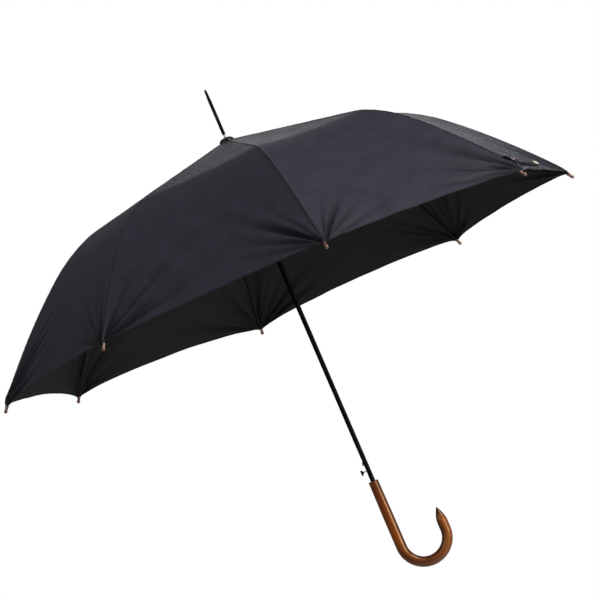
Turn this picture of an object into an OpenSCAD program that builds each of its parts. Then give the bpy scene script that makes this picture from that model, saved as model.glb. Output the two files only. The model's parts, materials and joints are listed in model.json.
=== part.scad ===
// Stick umbrella, open: crook handle, push button, runner, stretchers, sprung ribs and cloth gores.
// Origin: centre of the handle's top face, on the shaft's axis. +Z runs up the shaft to the ferrule.
// +X is the side to which the crook opens. Ribs are numbered anticlockwise seen from above.

/* [Ribs] */
// Height of the crown pivots above the handle's top face
crown_z = 607.2; // [600:0.2:620]
// Radius of the pivot circle, the same in the crown and in the runner
pivot_r = 8.5; // [8.3:0.1:9]
// Crown pivot to stretcher pivot, which is the stretcher's length too
link_len = 258; // [250:1:262]
// Angle of that line from straight down while the umbrella is open
open_angle = 76.5; // [75:0.5:80]
// Chord of the rib's short spring length, just outside the stretcher
mid_chord = 89; // [80:1:95]
// Slope of that chord below the horizontal
mid_slope = 29; // [27:0.5:32]
// Angle through which the short spring length bends
mid_bend = 18; // [14:1:26]
// Chord of the rib's outer length, up to the end of its tip
outer_chord = 240.5; // [235:0.5:252]
// Slope of that chord below the horizontal
outer_slope = 45.7; // [44:0.1:49]
// Angle through which the outer length bends
outer_bend = 13.2; // [9:0.2:16]
// Azimuth of the first rib, from the side to which the crook opens
first_azimuth = 8.6; // [5:0.1:14]

/* [Cloth] */
// Depth of the arch in the hem between two tips
scallop = 10; // [6:1:26]
// Length of rib left bare of cloth at the tip
bare_tip = 14; // [13:0.5:18]
// Length of the closure strap
strap_len = 250; // [200:5:280]
// Width of the closure strap
strap_w = 14; // [10:1:18]

/* [Shaft and ferrule] */
// Outer diameter of the shaft
shaft_d = 8; // [7.6:0.1:8.2]
// Height of the ferrule's end above the handle's top face
ferrule_top = 703; // [690:1:720]
// Diameter of the ferrule over most of its length
ferrule_d = 5.6; // [5.2:0.1:6.4]
// Diameter of the cap on the crown
cap_d = 25.5; // [24:0.5:27]

/* [Handle] */
// Diameter of the handle at its top face
handle_top_d = 16.3; // [15:0.1:17.5]
// Diameter of the rest of the handle
handle_d = 17.6; // [16:0.1:18.6]
// Length of the straight grip, down to where the bend starts
grip_len = 117.5; // [100:0.5:140]
// Radius of the crook's centre line
crook_r = 39; // [36:0.5:46]
// Length of the crook's free end past the bend, up to its point
crook_end = 38.5; // [34:0.5:46]

/* [Push button] */
// How far the button travels into the shaft
button_travel = 3; // [2:0.5:3]
// Diameter of the button's head
button_d = 9.3; // [8:0.1:9.4]

/* [Hidden] */
ribs = [1:8];
rib_step = 45;
arc_fn = 96;
fit = 0.05;          // clearance of pieces that are fixed to each other
running = 0.15;      // clearance of pieces that turn or slide

// Rib sections
inner_d = 3.2;
mid_d = 3;
outer_d = 2.6;
lug_drop = 4;        // stretcher pivot below the rib's axis
hinge_gap = 6;       // first spring hinge past the stretcher pivot
tab_t = 1.5;
cheek_t = 1.05;
eye_r = 1.7;
pin_r = 0.6;
wire_r = 0.5;
bar_start = 6;       // where a bar begins past its eye, clear of the slotted disc

// Cloth
cloth_t = 0.5;
cloth_out = 2.9;     // cloth's outer face from the rib's axis
seam_gap = 0.15;
strap_t = 0.8;
strap_up = 52;       // strap's middle from the rib's end

// Slotted discs
disc_r = 11.2;
disc_core_r = 6.2;
slot_w = 2;
notch_top = crown_z + 1.4;
notch_bottom = crown_z - 3.8;

// Shaft and ferrule
shaft_r = shaft_d / 2;
shaft_bore_r = shaft_r - 0.7;
shaft_in_handle = 60;
stud_r = 1.9;
ferrule_z = 622;
ferrule_tip_d = 4;
cap_h = 7.5;
cap_z = crown_z + 2.1;

// Runner
runner_r = 6.3;
sleeve_len = 66;
closed_angle = 1.2;
runner_z = crown_z - 2 * link_len * cos(open_angle);
runner_travel = 2 * link_len * (cos(closed_angle) - cos(open_angle));

// Catch and button
button_z = 19;
button_back = shaft_r + 1.6 + button_travel;
button_face = button_back + 4.8;
catch_low = 29;
catch_high = 40;
catch_out = 6.4;
leaf_x = 2.9;
leaf_t = 0.6;
leaf_w = 2.6;
slot_low = 13;
slot_high = 42;

// ---- the rib's line, in the plane of the rib: [radius, height] ----

rib_slope = 90 - open_angle - asin(lug_drop / link_len);
lug_x = sqrt(link_len * link_len - lug_drop * lug_drop);
inner_len = lug_x + hinge_gap;

function azimuth(k) = first_azimuth + rib_step * (k - 1);
function along(slope) = [cos(slope), -sin(slope)];
function outward(slope) = [sin(slope), cos(slope)];
function radius(chord, bend) = chord / 2 / sin(bend / 2);

// Point of an arc that starts at a, at share t of its bend, lift away from its line
function arc_point(a, chord, slope, bend, t, lift = 0) =
    let (s0 = slope - bend / 2, s = s0 + bend * t, r = radius(chord, bend))
    a + r * (outward(s) - outward(s0)) + lift * outward(s);

crown_pivot = [pivot_r, crown_z];
mid_hinge = crown_pivot + inner_len * along(rib_slope);
outer_hinge = mid_hinge + mid_chord * along(mid_slope);
rib_end = outer_hinge + outer_chord * along(outer_slope);
mid_start_slope = mid_slope - mid_bend / 2;
mid_end_slope = mid_slope + mid_bend / 2;
outer_start_slope = outer_slope - outer_bend / 2;
outer_end_slope = outer_slope + outer_bend / 2;

function inner_line(x, lift) = crown_pivot + x * along(rib_slope) + lift * outward(rib_slope);
function mid_line(t, lift) = arc_point(mid_hinge, mid_chord, mid_slope, mid_bend, t, lift);
function outer_line(t, lift) = arc_point(outer_hinge, outer_chord, outer_slope, outer_bend, t, lift);

// Puts its children, drawn with X along the radius, in the plane of rib k
module in_rib_plane(k) rotate([0, 0, azimuth(k)]) children();

// Puts its children at a point of the rib's plane with X along that slope
module at_slope(p, slope) translate([p[0], 0, p[1]]) rotate([0, slope, 0]) children();

module across(r, w) rotate([90, 0, 0]) cylinder(r = r, h = w, center = true, $fn = 32);

module box(x0, x1, w, z0, z1) translate([x0, -w / 2, z0]) cube([x1 - x0, w, z1 - z0]);

// Flat eye that turns on a pin or on the pivot wire, with a tab to the bar that follows it
module eye(bore, length, w = tab_t) difference() {
    union() {
        across(eye_r, w);
        box(0, length, w, -1.3, 1.3);
    }
    across(bore, w + 1);
}

// Forked end with its pin at the origin, closed towards -X
module fork(d) {
    fork_w = tab_t + 2 * running + 2 * cheek_t;
    difference() {
        union() {
            across(d / 2 + 0.3, fork_w);
            box(-8, 0, fork_w, -d / 2, d / 2);
        }
        box(-4, 6, tab_t + 2 * running, -d, d);
    }
    across(pin_r, fork_w - 0.2);
}

// Round rod bent to an arc of the rib, from share t0 to share t1 of its bend
module arc_rod(a, chord, slope, bend, d, t0, t1) {
    r = radius(chord, bend);
    s0 = slope - bend / 2;
    centre = a - r * outward(s0);
    translate([centre[0], 0, centre[1]])
        rotate([90, 0, 0])
            rotate([0, 0, 90 - s0 - bend * t1])
                rotate_extrude(angle = bend * (t1 - t0), $fn = arc_fn)
                    translate([r, 0]) circle(d = d, $fn = 24);
}

// ---- shaft, ferrule and crown ----

module shaft_tube() color("#121214") difference() {
    translate([0, 0, -shaft_in_handle])
        cylinder(r = shaft_r, h = notch_top + shaft_in_handle, $fn = 64);
    translate([0, 0, -shaft_in_handle - 1])
        cylinder(r = shaft_bore_r, h = notch_top + shaft_in_handle + 2, $fn = 64);
    translate([-shaft_r - 1, -leaf_w / 2 - 0.2, slot_low])
        cube([shaft_r, leaf_w + 0.4, slot_high - slot_low]);
}

module ferrule_stud() color("silver") {
    translate([0, 0, notch_top - 25]) cylinder(r = shaft_bore_r - fit, h = 25, $fn = 48);
    translate([0, 0, notch_top]) cylinder(r = stud_r, h = ferrule_z + 28 - notch_top, $fn = 48);
}

module ferrule() color("#0e0e10") difference() {
    taper = 22;
    union() {
        translate([0, 0, ferrule_z])
            cylinder(d = ferrule_d, h = ferrule_top - ferrule_z - taper, $fn = 48);
        translate([0, 0, ferrule_top - taper])
            cylinder(d1 = ferrule_d, d2 = ferrule_tip_d, h = taper - ferrule_tip_d / 2, $fn = 48);
        translate([0, 0, ferrule_top - ferrule_tip_d / 2]) sphere(d = ferrule_tip_d, $fn = 48);
    }
    translate([0, 0, ferrule_z - 1]) cylinder(r = stud_r + fit, h = 30, $fn = 48);
}

// Low dome over the cloth, hollow where the cloth's cone rises into it
module top_cap() color("#0c0c0e") translate([0, 0, cap_z]) {
    cap_r = cap_d / 2;
    wall = 1.2;
    cone = tan(rib_slope);
    rotate_extrude($fn = 96) polygon(concat(
        [[stud_r + fit, cone * cap_r + wall + 0.2], [stud_r + fit, cap_h]],
        [for (a = [75:-15:0]) [3.6 + (cap_r - 3.6) * cos(a), 0.6 + (cap_h - 0.6) * sin(a)]],
        [[cap_r, 0.1], [cap_r - wall, 0.1 + cone * wall + 0.1]]
    ));
}

// Disc with a slot for each rib or stretcher, and the wire on which they turn
module slotted_disc(z, low, high, bore) {
    difference() {
        translate([0, 0, low]) cylinder(r = disc_r, h = high - low, $fn = 96);
        translate([0, 0, low - 1]) cylinder(r = bore, h = high - low + 2, $fn = 64);
        for (k = ribs)
            rotate([0, 0, azimuth(k)])
                translate([disc_core_r, -slot_w / 2, low - 1])
                    cube([disc_r, slot_w, high - low + 2]);
    }
    translate([0, 0, z])
        rotate_extrude($fn = 96) translate([pivot_r, 0]) circle(r = wire_r, $fn = 24);
}

module crown_notch() color("#1a1a1c")
    slotted_disc(crown_z, notch_bottom, notch_top, shaft_r + fit);

// ---- runner, button and catch ----

module runner() color("#161618") difference() {
    union() {
        slotted_disc(runner_z, runner_z - 3.8, runner_z + 2.4, shaft_r + running);
        difference() {
            translate([0, 0, runner_z - sleeve_len])
                cylinder(r = runner_r, h = sleeve_len - 3, $fn = 64);
            translate([0, 0, runner_z - sleeve_len - 1])
                cylinder(r = shaft_r + running, h = sleeve_len, $fn = 64);
        }
    }
    // window that drops over the catch when the umbrella is shut
    translate([-runner_r - 1, -leaf_w / 2 - 0.4, catch_low + runner_travel - 0.6])
        cube([runner_r, leaf_w + 0.8, catch_high - catch_low + 1.4]);
}

module push_button() color("#0c0c0e") translate([0, 0, button_z]) rotate([0, -90, 0])
    rotate_extrude($fn = 64) polygon([
        [0, button_back],
        [1.6, button_back],
        [button_d / 2, button_face - 2.2],
        [button_d / 2, button_face - 0.8],
        [button_d / 2 - 0.8, button_face],
        [0, button_face]
    ]);

module latch_spring() color("silver") {
    translate([-leaf_x, -leaf_w / 2, slot_low + 1]) cube([leaf_t, leaf_w, slot_high - slot_low - 2]);
    translate([-leaf_x + 0.1, 0, button_z]) rotate([0, -90, 0])
        cylinder(r = 1.1, h = button_back - leaf_x + 0.1, $fn = 32);
    translate([0, (leaf_w - 0.2) / 2, 0]) rotate([90, 0, 0]) linear_extrude(leaf_w - 0.2)
        polygon([
            [-leaf_x + 0.2, catch_low],
            [-catch_out, catch_low],
            [-catch_out + 0.3, catch_low + 3],
            [-leaf_x + 0.2, catch_high]
        ]);
}

// ---- handle ----

// Half width of the crook's pointed end, at share t of its length
function point_r(t) = handle_d / 2 * (1 - pow(t, 1.35));
point_len = 22.5;
tip_share = 0.68;

module handle() color("#7a3d1c") {
    difference() {
        union() {
            translate([0, 0, -60])
                cylinder(d1 = handle_d, d2 = handle_top_d, h = 59.2, $fn = 96);
            translate([0, 0, -0.8])
                cylinder(d1 = handle_top_d, d2 = handle_top_d - 1.6, h = 0.8, $fn = 96);
            translate([0, 0, -grip_len]) cylinder(d = handle_d, h = grip_len - 60, $fn = 96);
        }
        translate([0, 0, -shaft_in_handle]) cylinder(r = shaft_r + fit, h = 80, $fn = 64);
    }
    translate([crook_r, 0, -grip_len]) rotate([90, 0, 0]) rotate([0, 0, 180])
        rotate_extrude(angle = 180, $fn = 96) translate([crook_r, 0]) circle(d = handle_d, $fn = 96);
    translate([2 * crook_r, 0, -grip_len]) rotate_extrude($fn = 96) polygon(concat(
        [[0, 0], [handle_d / 2, 0]],
        [for (i = [0:8]) let (t = tip_share * i / 8)
            [point_r(t), crook_end - point_len * (1 - t)]],
        [[0, crook_end - point_len * (1 - tip_share)]]
    ));
}

module handle_tip() color("#141010") translate([2 * crook_r, 0, -grip_len])
    rotate_extrude($fn = 96) polygon(concat(
        [[0, crook_end - point_len * (1 - tip_share)]],
        [for (i = [0:6]) let (t = tip_share + (0.97 - tip_share) * i / 6)
            [point_r(t), crook_end - point_len * (1 - t)]],
        [[0, crook_end]]
    ));

// ---- ribs, stretchers and tips ----

module rib_inner(k) color("#131315") in_rib_plane(k) at_slope(crown_pivot, rib_slope) {
    eye(wire_r + 0.25, bar_start + 1);
    translate([bar_start, 0, 0]) rotate([0, 90, 0])
        cylinder(d = inner_d, h = inner_len - bar_start - 4.5, $fn = 32);
    translate([inner_len, 0, 0]) fork(inner_d);
    // lug that carries the stretcher's pin
    translate([lug_x, 0, 0]) difference() {
        union() {
            translate([0, 0, -lug_drop]) across(1.8, 2);
            box(-1.8, 1.8, 2, -lug_drop, -1);
        }
        translate([0, 0, -lug_drop]) across(pin_r + 0.2, 3);
    }
}

module rib_mid(k) color("#131315") in_rib_plane(k) {
    step = bar_start / mid_chord;
    at_slope(mid_hinge, mid_start_slope) eye(pin_r + 0.15, bar_start);
    arc_rod(mid_hinge, mid_chord, mid_slope, mid_bend, mid_d, 0.8 * step, 1 - 0.8 * step);
    at_slope(outer_hinge, mid_end_slope) fork(mid_d);
}

module rib_outer(k) color("#131315") in_rib_plane(k) {
    at_slope(outer_hinge, outer_start_slope) eye(pin_r + 0.15, bar_start);
    arc_rod(outer_hinge, outer_chord, outer_slope, outer_bend, outer_d,
        0.8 * bar_start / outer_chord, 1 - 6 / outer_chord);
}

module rib_tip(k) color("#8a4f2c") in_rib_plane(k) at_slope(rib_end, outer_end_slope) {
    tip_r = 2.4;
    tip_len = 13;
    difference() {
        union() {
            translate([-tip_len, 0, 0]) rotate([0, 90, 0])
                cylinder(r = tip_r, h = tip_len - tip_r, $fn = 32);
            translate([-tip_r, 0, 0]) sphere(r = tip_r, $fn = 32);
        }
        translate([-tip_len - 1, 0, 0]) rotate([0, 90, 0])
            cylinder(r = outer_d / 2 + 0.12, h = tip_len - 4.5, $fn = 32);
    }
}

// Channel bar, drawn from its forked outer end towards the runner
module stretcher(k) color("#131315") in_rib_plane(k)
    at_slope(inner_line(lug_x, -lug_drop), 180 - (90 - open_angle)) {
        fork_w = 2 + 2 * running + 2 * cheek_t;
        difference() {
            union() {
                across(1.7, fork_w);
                box(0, 7, fork_w, -1.5, 1.5);
            }
            box(-4, 3.2, 2 + 2 * running, -4, 4);
        }
        across(pin_r, fork_w - 0.2);
        difference() {
            box(5, link_len - bar_start, 3, -1.5, 1.5);
            box(9, link_len - bar_start - 3, 1.6, -2, 0.6);
        }
        translate([link_len, 0, 0]) rotate([0, 180, 0]) eye(wire_r + 0.25, bar_start + 1);
    }

// ---- cloth ----

// The cloth's line over a rib in three lengths, as rows of a gore, for one share f of its width
hem_share = 1 - bare_tip / outer_chord;
inner_rows = [-4.5, 80, 170, inner_len];
function hem(f) = hem_share - scallop / outer_chord * 4 * f * (1 - f);
function gore_line(f, lift) = concat(
    [for (x = inner_rows) inner_line(x, lift)],
    [for (i = [1:4]) mid_line(i / 4, lift)],
    [for (i = [1:6]) outer_line(hem(f) * i / 6, lift)]
);

function turned(p, a) = [p[0] * cos(a), p[0] * sin(a), p[1]];

// One column of points of gore k at share f of the way from its own rib to the next
function gore_column(k, f, lift) =
    let (line = gore_line(f, lift))
    [for (p = line)
        let (
            a = turned(p, azimuth(k)),
            b = turned(p, azimuth(k) + rib_step),
            inset = seam_gap / norm(b - a),
            share = inset + f * (1 - 2 * inset)
        )
        a + share * (b - a)];

gore_columns = [0, 0.125, 0.25, 0.375, 0.5, 0.625, 0.75, 0.875, 1];

module gore(k) {
    top = [for (f = gore_columns) gore_column(k, f, cloth_out)];
    under = [for (f = gore_columns) gore_column(k, f, cloth_out - cloth_t)];
    columns = len(gore_columns);
    rows = len(top[0]);
    count = columns * rows;
    function at(side, c, r) = side * count + c * rows + r;
    points = concat([for (c = top) each c], [for (c = under) each c]);
    quads = concat(
        [for (c = [0:columns - 2]) for (r = [0:rows - 2]) for (side = [0, 1])
            let (q = [at(side, c, r), at(side, c, r + 1), at(side, c + 1, r + 1), at(side, c + 1, r)])
            side == 0 ? [q[3], q[2], q[1], q[0]] : q],
        [for (r = [0:rows - 2]) [at(0, 0, r), at(0, 0, r + 1), at(1, 0, r + 1), at(1, 0, r)]],
        [for (r = [0:rows - 2]) let (c = columns - 1)
            [at(0, c, r + 1), at(0, c, r), at(1, c, r), at(1, c, r + 1)]],
        [for (c = [0:columns - 2]) [at(0, c + 1, 0), at(0, c, 0), at(1, c, 0), at(1, c + 1, 0)]],
        [for (c = [0:columns - 2]) let (r = rows - 1)
            [at(0, c, r), at(0, c + 1, r), at(1, c + 1, r), at(1, c, r)]]
    );
    triangles = [for (q = quads) each [[q[0], q[1], q[2]], [q[0], q[2], q[3]]]];
    color("#2c2d36") polyhedron(points = points, faces = triangles, convexity = 6);
}

// Puts its children on the outer face of the gore past rib k, X down the slope and Y along the hem
module on_gore(k, t) {
    p = outer_line(t, cloth_out);
    slope = outer_slope - outer_bend / 2 + outer_bend * t;
    half = rib_step / 2;
    rotate([0, 0, azimuth(k) + half]) translate([p[0] * cos(half), 0, p[1]])
        rotate([0, atan(tan(slope) / cos(half)), 0]) children();
}

strap_rib = 8;
strap_share = 1 - strap_up / outer_chord;
strap_root = -outer_line(strap_share, cloth_out)[0] * sin(rib_step / 2) + 4;

module closure_strap() color("#202127") on_gore(strap_rib, strap_share)
    translate([-strap_w / 2, strap_root, 0.3]) cube([strap_w, strap_len, strap_t]);

module strap_snap() color("#d8cdb4") on_gore(strap_rib, strap_share)
    for (y = [strap_root + 12, strap_root + strap_len - 12])
        translate([0, y, 0.3 + strap_t]) cylinder(r1 = 6, r2 = 5, h = 1.6, $fn = 48);

// ---- the umbrella ----

shaft_tube();
ferrule();
ferrule_stud();
top_cap();
crown_notch();
handle();
handle_tip();
runner();
push_button();
latch_spring();
closure_strap();
strap_snap();
for (k = ribs) rib_inner(k);
for (k = ribs) rib_mid(k);
for (k = ribs) rib_outer(k);
for (k = ribs) rib_tip(k);
for (k = ribs) stretcher(k);
for (k = ribs) gore(k);
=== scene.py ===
import json
import math

import bpy
import numpy as np
from mathutils import Matrix, Vector


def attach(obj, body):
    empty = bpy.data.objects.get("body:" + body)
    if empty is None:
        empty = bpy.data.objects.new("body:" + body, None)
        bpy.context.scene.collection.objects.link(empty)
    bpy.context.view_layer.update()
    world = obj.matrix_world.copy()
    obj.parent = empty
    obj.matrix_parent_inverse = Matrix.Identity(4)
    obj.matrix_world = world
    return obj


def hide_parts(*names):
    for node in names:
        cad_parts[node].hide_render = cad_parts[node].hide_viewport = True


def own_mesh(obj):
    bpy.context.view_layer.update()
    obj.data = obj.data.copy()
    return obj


# An open stick umbrella, dressed over the CAD frame: cloth, strap, handle and rib tips are made here, and
# the other CAD nodes stay and get their materials.
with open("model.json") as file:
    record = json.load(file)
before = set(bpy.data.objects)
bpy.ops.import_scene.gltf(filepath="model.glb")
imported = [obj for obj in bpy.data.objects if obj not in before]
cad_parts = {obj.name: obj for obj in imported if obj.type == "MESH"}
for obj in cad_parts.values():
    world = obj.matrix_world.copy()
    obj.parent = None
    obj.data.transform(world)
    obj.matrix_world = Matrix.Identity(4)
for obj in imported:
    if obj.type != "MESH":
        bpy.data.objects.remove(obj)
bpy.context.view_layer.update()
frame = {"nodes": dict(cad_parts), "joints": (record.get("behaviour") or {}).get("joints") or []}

# ---------------------------------------------------------------- the umbrella's own dimensions, in metres

RIBS = 8
MM = 0.001
TURN = 2 * math.pi
joints = {j["name"]: j for j in frame["joints"]}


def in_plane(joint):
    """(radius, height) of a joint of rib 1, in the plane of that rib."""
    x, y, z = joints[joint]["pos_m"]
    return np.array([math.hypot(x, y), z])


def fold_name(k):
    return "canopy_fold" if k == 1 else f"rib_fold_{k}"


def azimuth(k):
    """Azimuth of rib k; rib 9 is rib 1 again."""
    x, y, _ = joints[fold_name((k - 1) % RIBS + 1)]["pos_m"]
    return math.atan2(y, x)


CROWN = in_plane("canopy_fold")
MID_HINGE = in_plane("rib_flex_mid_1")
OUTER_HINGE = in_plane("rib_flex_outer_1")


def slope_between(a, b):
    """Angle below the horizontal of the line from a to b."""
    return math.atan2(a[1] - b[1], b[0] - a[0])


INNER_SLOPE = slope_between(CROWN, MID_HINGE)
MID_SLOPE = slope_between(MID_HINGE, OUTER_HINGE)
# the two sprung lengths of a rib, as in part.scad
MID_BEND = math.radians(18)
OUTER_CHORD = 240.5 * MM
OUTER_SLOPE = math.radians(45.7)
OUTER_BEND = math.radians(13.2)
CLOTH_OUT = 2.9 * MM       # outer face of the cloth, from the rib's axis
CLOTH_T = 0.4 * MM
CROWN_OVERHANG = 4.5 * MM  # how far the cloth's line runs past the crown's pivots, under the cap
BARE_TIP = 8.5 * MM        # rib left bare past the cloth's corner
CORNER_DROP = 3 * MM       # the hem's short flare down to the corner
CORNER_FLARE = 9 * MM      # how far from the corner that flare fades
HEM_WIDTH = 385 * MM       # a gore's width near its hem
SCALLOP_MM = {1: 9, 2: 13, 3: 14.5, 4: 12.5, 5: 8, 6: 4.5, 7: 6.5, 8: 8}   # the arch of each gore's hem
HEM = 7 * MM               # width of the hem
SEAM = 2.4 * MM            # width of the seam's lap beside a rib
LINE_EASE = 6              # standard deviation of the easing over the hinges, in steps of 1 mm
LINE_REACH = 20            # steps on each side that the easing looks at


def outward(slope):
    """Unit vector square to a line of that slope, in a rib's plane."""
    return np.stack([np.sin(slope), np.cos(slope)], -1)


def arc(start, chord, slope, bend, t, lift):
    """Points of an arc in a rib's plane, at shares t of its bend, lifted off its line."""
    first = slope - bend / 2
    angle = first + bend * np.asarray(t, float)
    radius = chord / 2 / math.sin(bend / 2)
    return start + radius * (outward(angle) - outward(first)) + lift * outward(angle)


def rib_line(lift):
    """The line over one rib, in points 1 mm apart, eased where the rib's lengths meet.

    Returns the points' runs from the line's upper end, the points, and the runs of the two hinges and of
    the lower end."""
    inner_len = np.linalg.norm(MID_HINGE - CROWN)
    x = np.linspace(-CROWN_OVERHANG, inner_len, 260)[:-1, None]
    along = np.array([math.cos(INNER_SLOPE), -math.sin(INNER_SLOPE)])
    inner = CROWN + x * along + lift * outward(INNER_SLOPE)
    mid_chord = np.linalg.norm(OUTER_HINGE - MID_HINGE)
    mid = arc(MID_HINGE, mid_chord, MID_SLOPE, MID_BEND, np.linspace(0, 1, 90)[1:-1], lift)
    outer = arc(OUTER_HINGE, OUTER_CHORD, OUTER_SLOPE, OUTER_BEND, np.linspace(0, 1, 250)[1:], lift)
    raw = np.concatenate([inner, mid, outer])
    mid_start, outer_start = len(inner), len(inner) + len(mid)
    run = np.concatenate([[0], np.cumsum(np.linalg.norm(np.diff(raw, axis=0), axis=1))])
    at = np.arange(0, run[-1], MM)
    line = np.stack([np.interp(at, run, raw[:, i]) for i in range(2)], -1)
    ahead = line[-1] + (line[-1] - line[-2]) * np.arange(1, LINE_REACH + 1)[:, None]
    behind = line[0] - (line[1] - line[0]) * np.arange(LINE_REACH, 0, -1)[:, None]
    padded = np.concatenate([behind, line, ahead])
    kernel = np.exp(-0.5 * (np.arange(-LINE_REACH, LINE_REACH + 1) / LINE_EASE) ** 2)
    kernel /= kernel.sum()
    eased = np.stack([np.convolve(padded[:, i], kernel, "valid") for i in range(2)], -1)
    return at, eased, run[mid_start], run[outer_start], run[-1]


RUN, LINE, RUN_MID, RUN_OUTER, RUN_END = rib_line(CLOTH_OUT)
RUN_CORNER = RUN_END - BARE_TIP


def line_at(run):
    """Radius and height of the line over a rib at that run."""
    return np.interp(run, RUN, LINE[:, 0]), np.interp(run, RUN, LINE[:, 1])


# ---------------------------------------------------------------- camera and light

TARGET = Vector((0, 0, 0.36))
DISTANCE = 6.954
ELEVATION = math.radians(-5.19)
ROLL = math.radians(-23.29)
SENSOR_MM = 36
FRAME_PX = 600
FOCAL_PX = 4227            # focal length in pixels of that frame
OFF_CENTRE = (-13.4 / FOCAL_PX, 20.0 / FOCAL_PX)   # where the target lies, right and up of the view's centre
LIGHTS_AIM = Vector((0, 0, 0.4))


def make_camera():
    back = Vector((0, -math.cos(ELEVATION), math.sin(ELEVATION)))
    level = (-back).cross(Vector((0, 0, 1))).normalized()
    over = level.cross(-back)
    right = math.cos(ROLL) * level + math.sin(ROLL) * over
    up = math.cos(ROLL) * over - math.sin(ROLL) * level
    ahead = (-back - OFF_CENTRE[0] * right - OFF_CENTRE[1] * up).normalized()
    right = (right - right.dot(ahead) * ahead).normalized()
    up = right.cross(ahead)
    data = bpy.data.cameras.new("camera")
    data.sensor_width = SENSOR_MM
    data.lens = SENSOR_MM * (FOCAL_PX / FRAME_PX)
    data.clip_start, data.clip_end = 0.1, 60
    cam = bpy.data.objects.new("camera", data)
    place = Matrix((right, up, -ahead)).transposed().to_4x4()
    place.translation = TARGET + back * DISTANCE
    cam.matrix_world = place
    bpy.context.scene.collection.objects.link(cam)
    bpy.context.scene.camera = cam


make_camera()


def area_light(name, towards, distance, size, power):
    """A soft square white light that shines at the canopy from that direction."""
    data = bpy.data.lights.new(name, "AREA")
    data.shape, data.size = "SQUARE", size
    data.energy = power
    lamp = bpy.data.objects.new(name, data)
    direction = Vector(towards).normalized()
    lamp.location = LIGHTS_AIM + direction * distance
    lamp.rotation_mode = "QUATERNION"
    lamp.rotation_quaternion = direction.to_track_quat("Z", "Y")
    bpy.context.scene.collection.objects.link(lamp)


def world_light(seen, cast):
    """White behind the object; softer where it lights it."""
    world = bpy.data.worlds.new("studio")
    world.use_nodes = True
    nodes, links = world.node_tree.nodes, world.node_tree.links
    nodes.clear()
    out = nodes.new("ShaderNodeOutputWorld")
    mix = nodes.new("ShaderNodeMixShader")
    path = nodes.new("ShaderNodeLightPath")
    for slot, value in ((1, cast), (2, seen)):
        back = nodes.new("ShaderNodeBackground")
        back.inputs["Color"].default_value = (1, 1, 1, 1)
        back.inputs["Strength"].default_value = value
        links.new(back.outputs[0], mix.inputs[slot])
    links.new(path.outputs["Is Camera Ray"], mix.inputs[0])
    links.new(mix.outputs[0], out.inputs["Surface"])
    bpy.context.scene.world = world


world_light(seen=1.0, cast=0.20)
area_light("key", (0.85, -0.55, 0.75), 3.4, 1.4, 92)
area_light("side", (0.9, -0.6, -0.1), 3.0, 1.2, 44)
area_light("fill", (-0.75, -0.9, 0.5), 3.6, 2.0, 24)
area_light("back", (0.15, 0.95, 0.33), 3.6, 1.6, 18)
bpy.context.scene.view_settings.view_transform = "Standard"


# ---------------------------------------------------------------- materials

WEAVE_PITCH = 0.0007       # two threads of the canopy's cloth
SEAM_STITCH, HEM_STITCH = 0.0026, 0.0028   # lengths of a stitch and its gap
THREAD_HALF = 0.0003       # half the width of a sewing thread
STITCH_GAP = -0.3          # the part of each stitch's wave below this is the gap
BAND_PITCH, BAND_YARN = 0.0009, 0.0012     # the closure band's ribs and yarns
BAND_BORDER = 0.0018       # its stitched border, in from its edge


def shade(colour, share):
    return tuple(c * share for c in colour)


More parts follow.
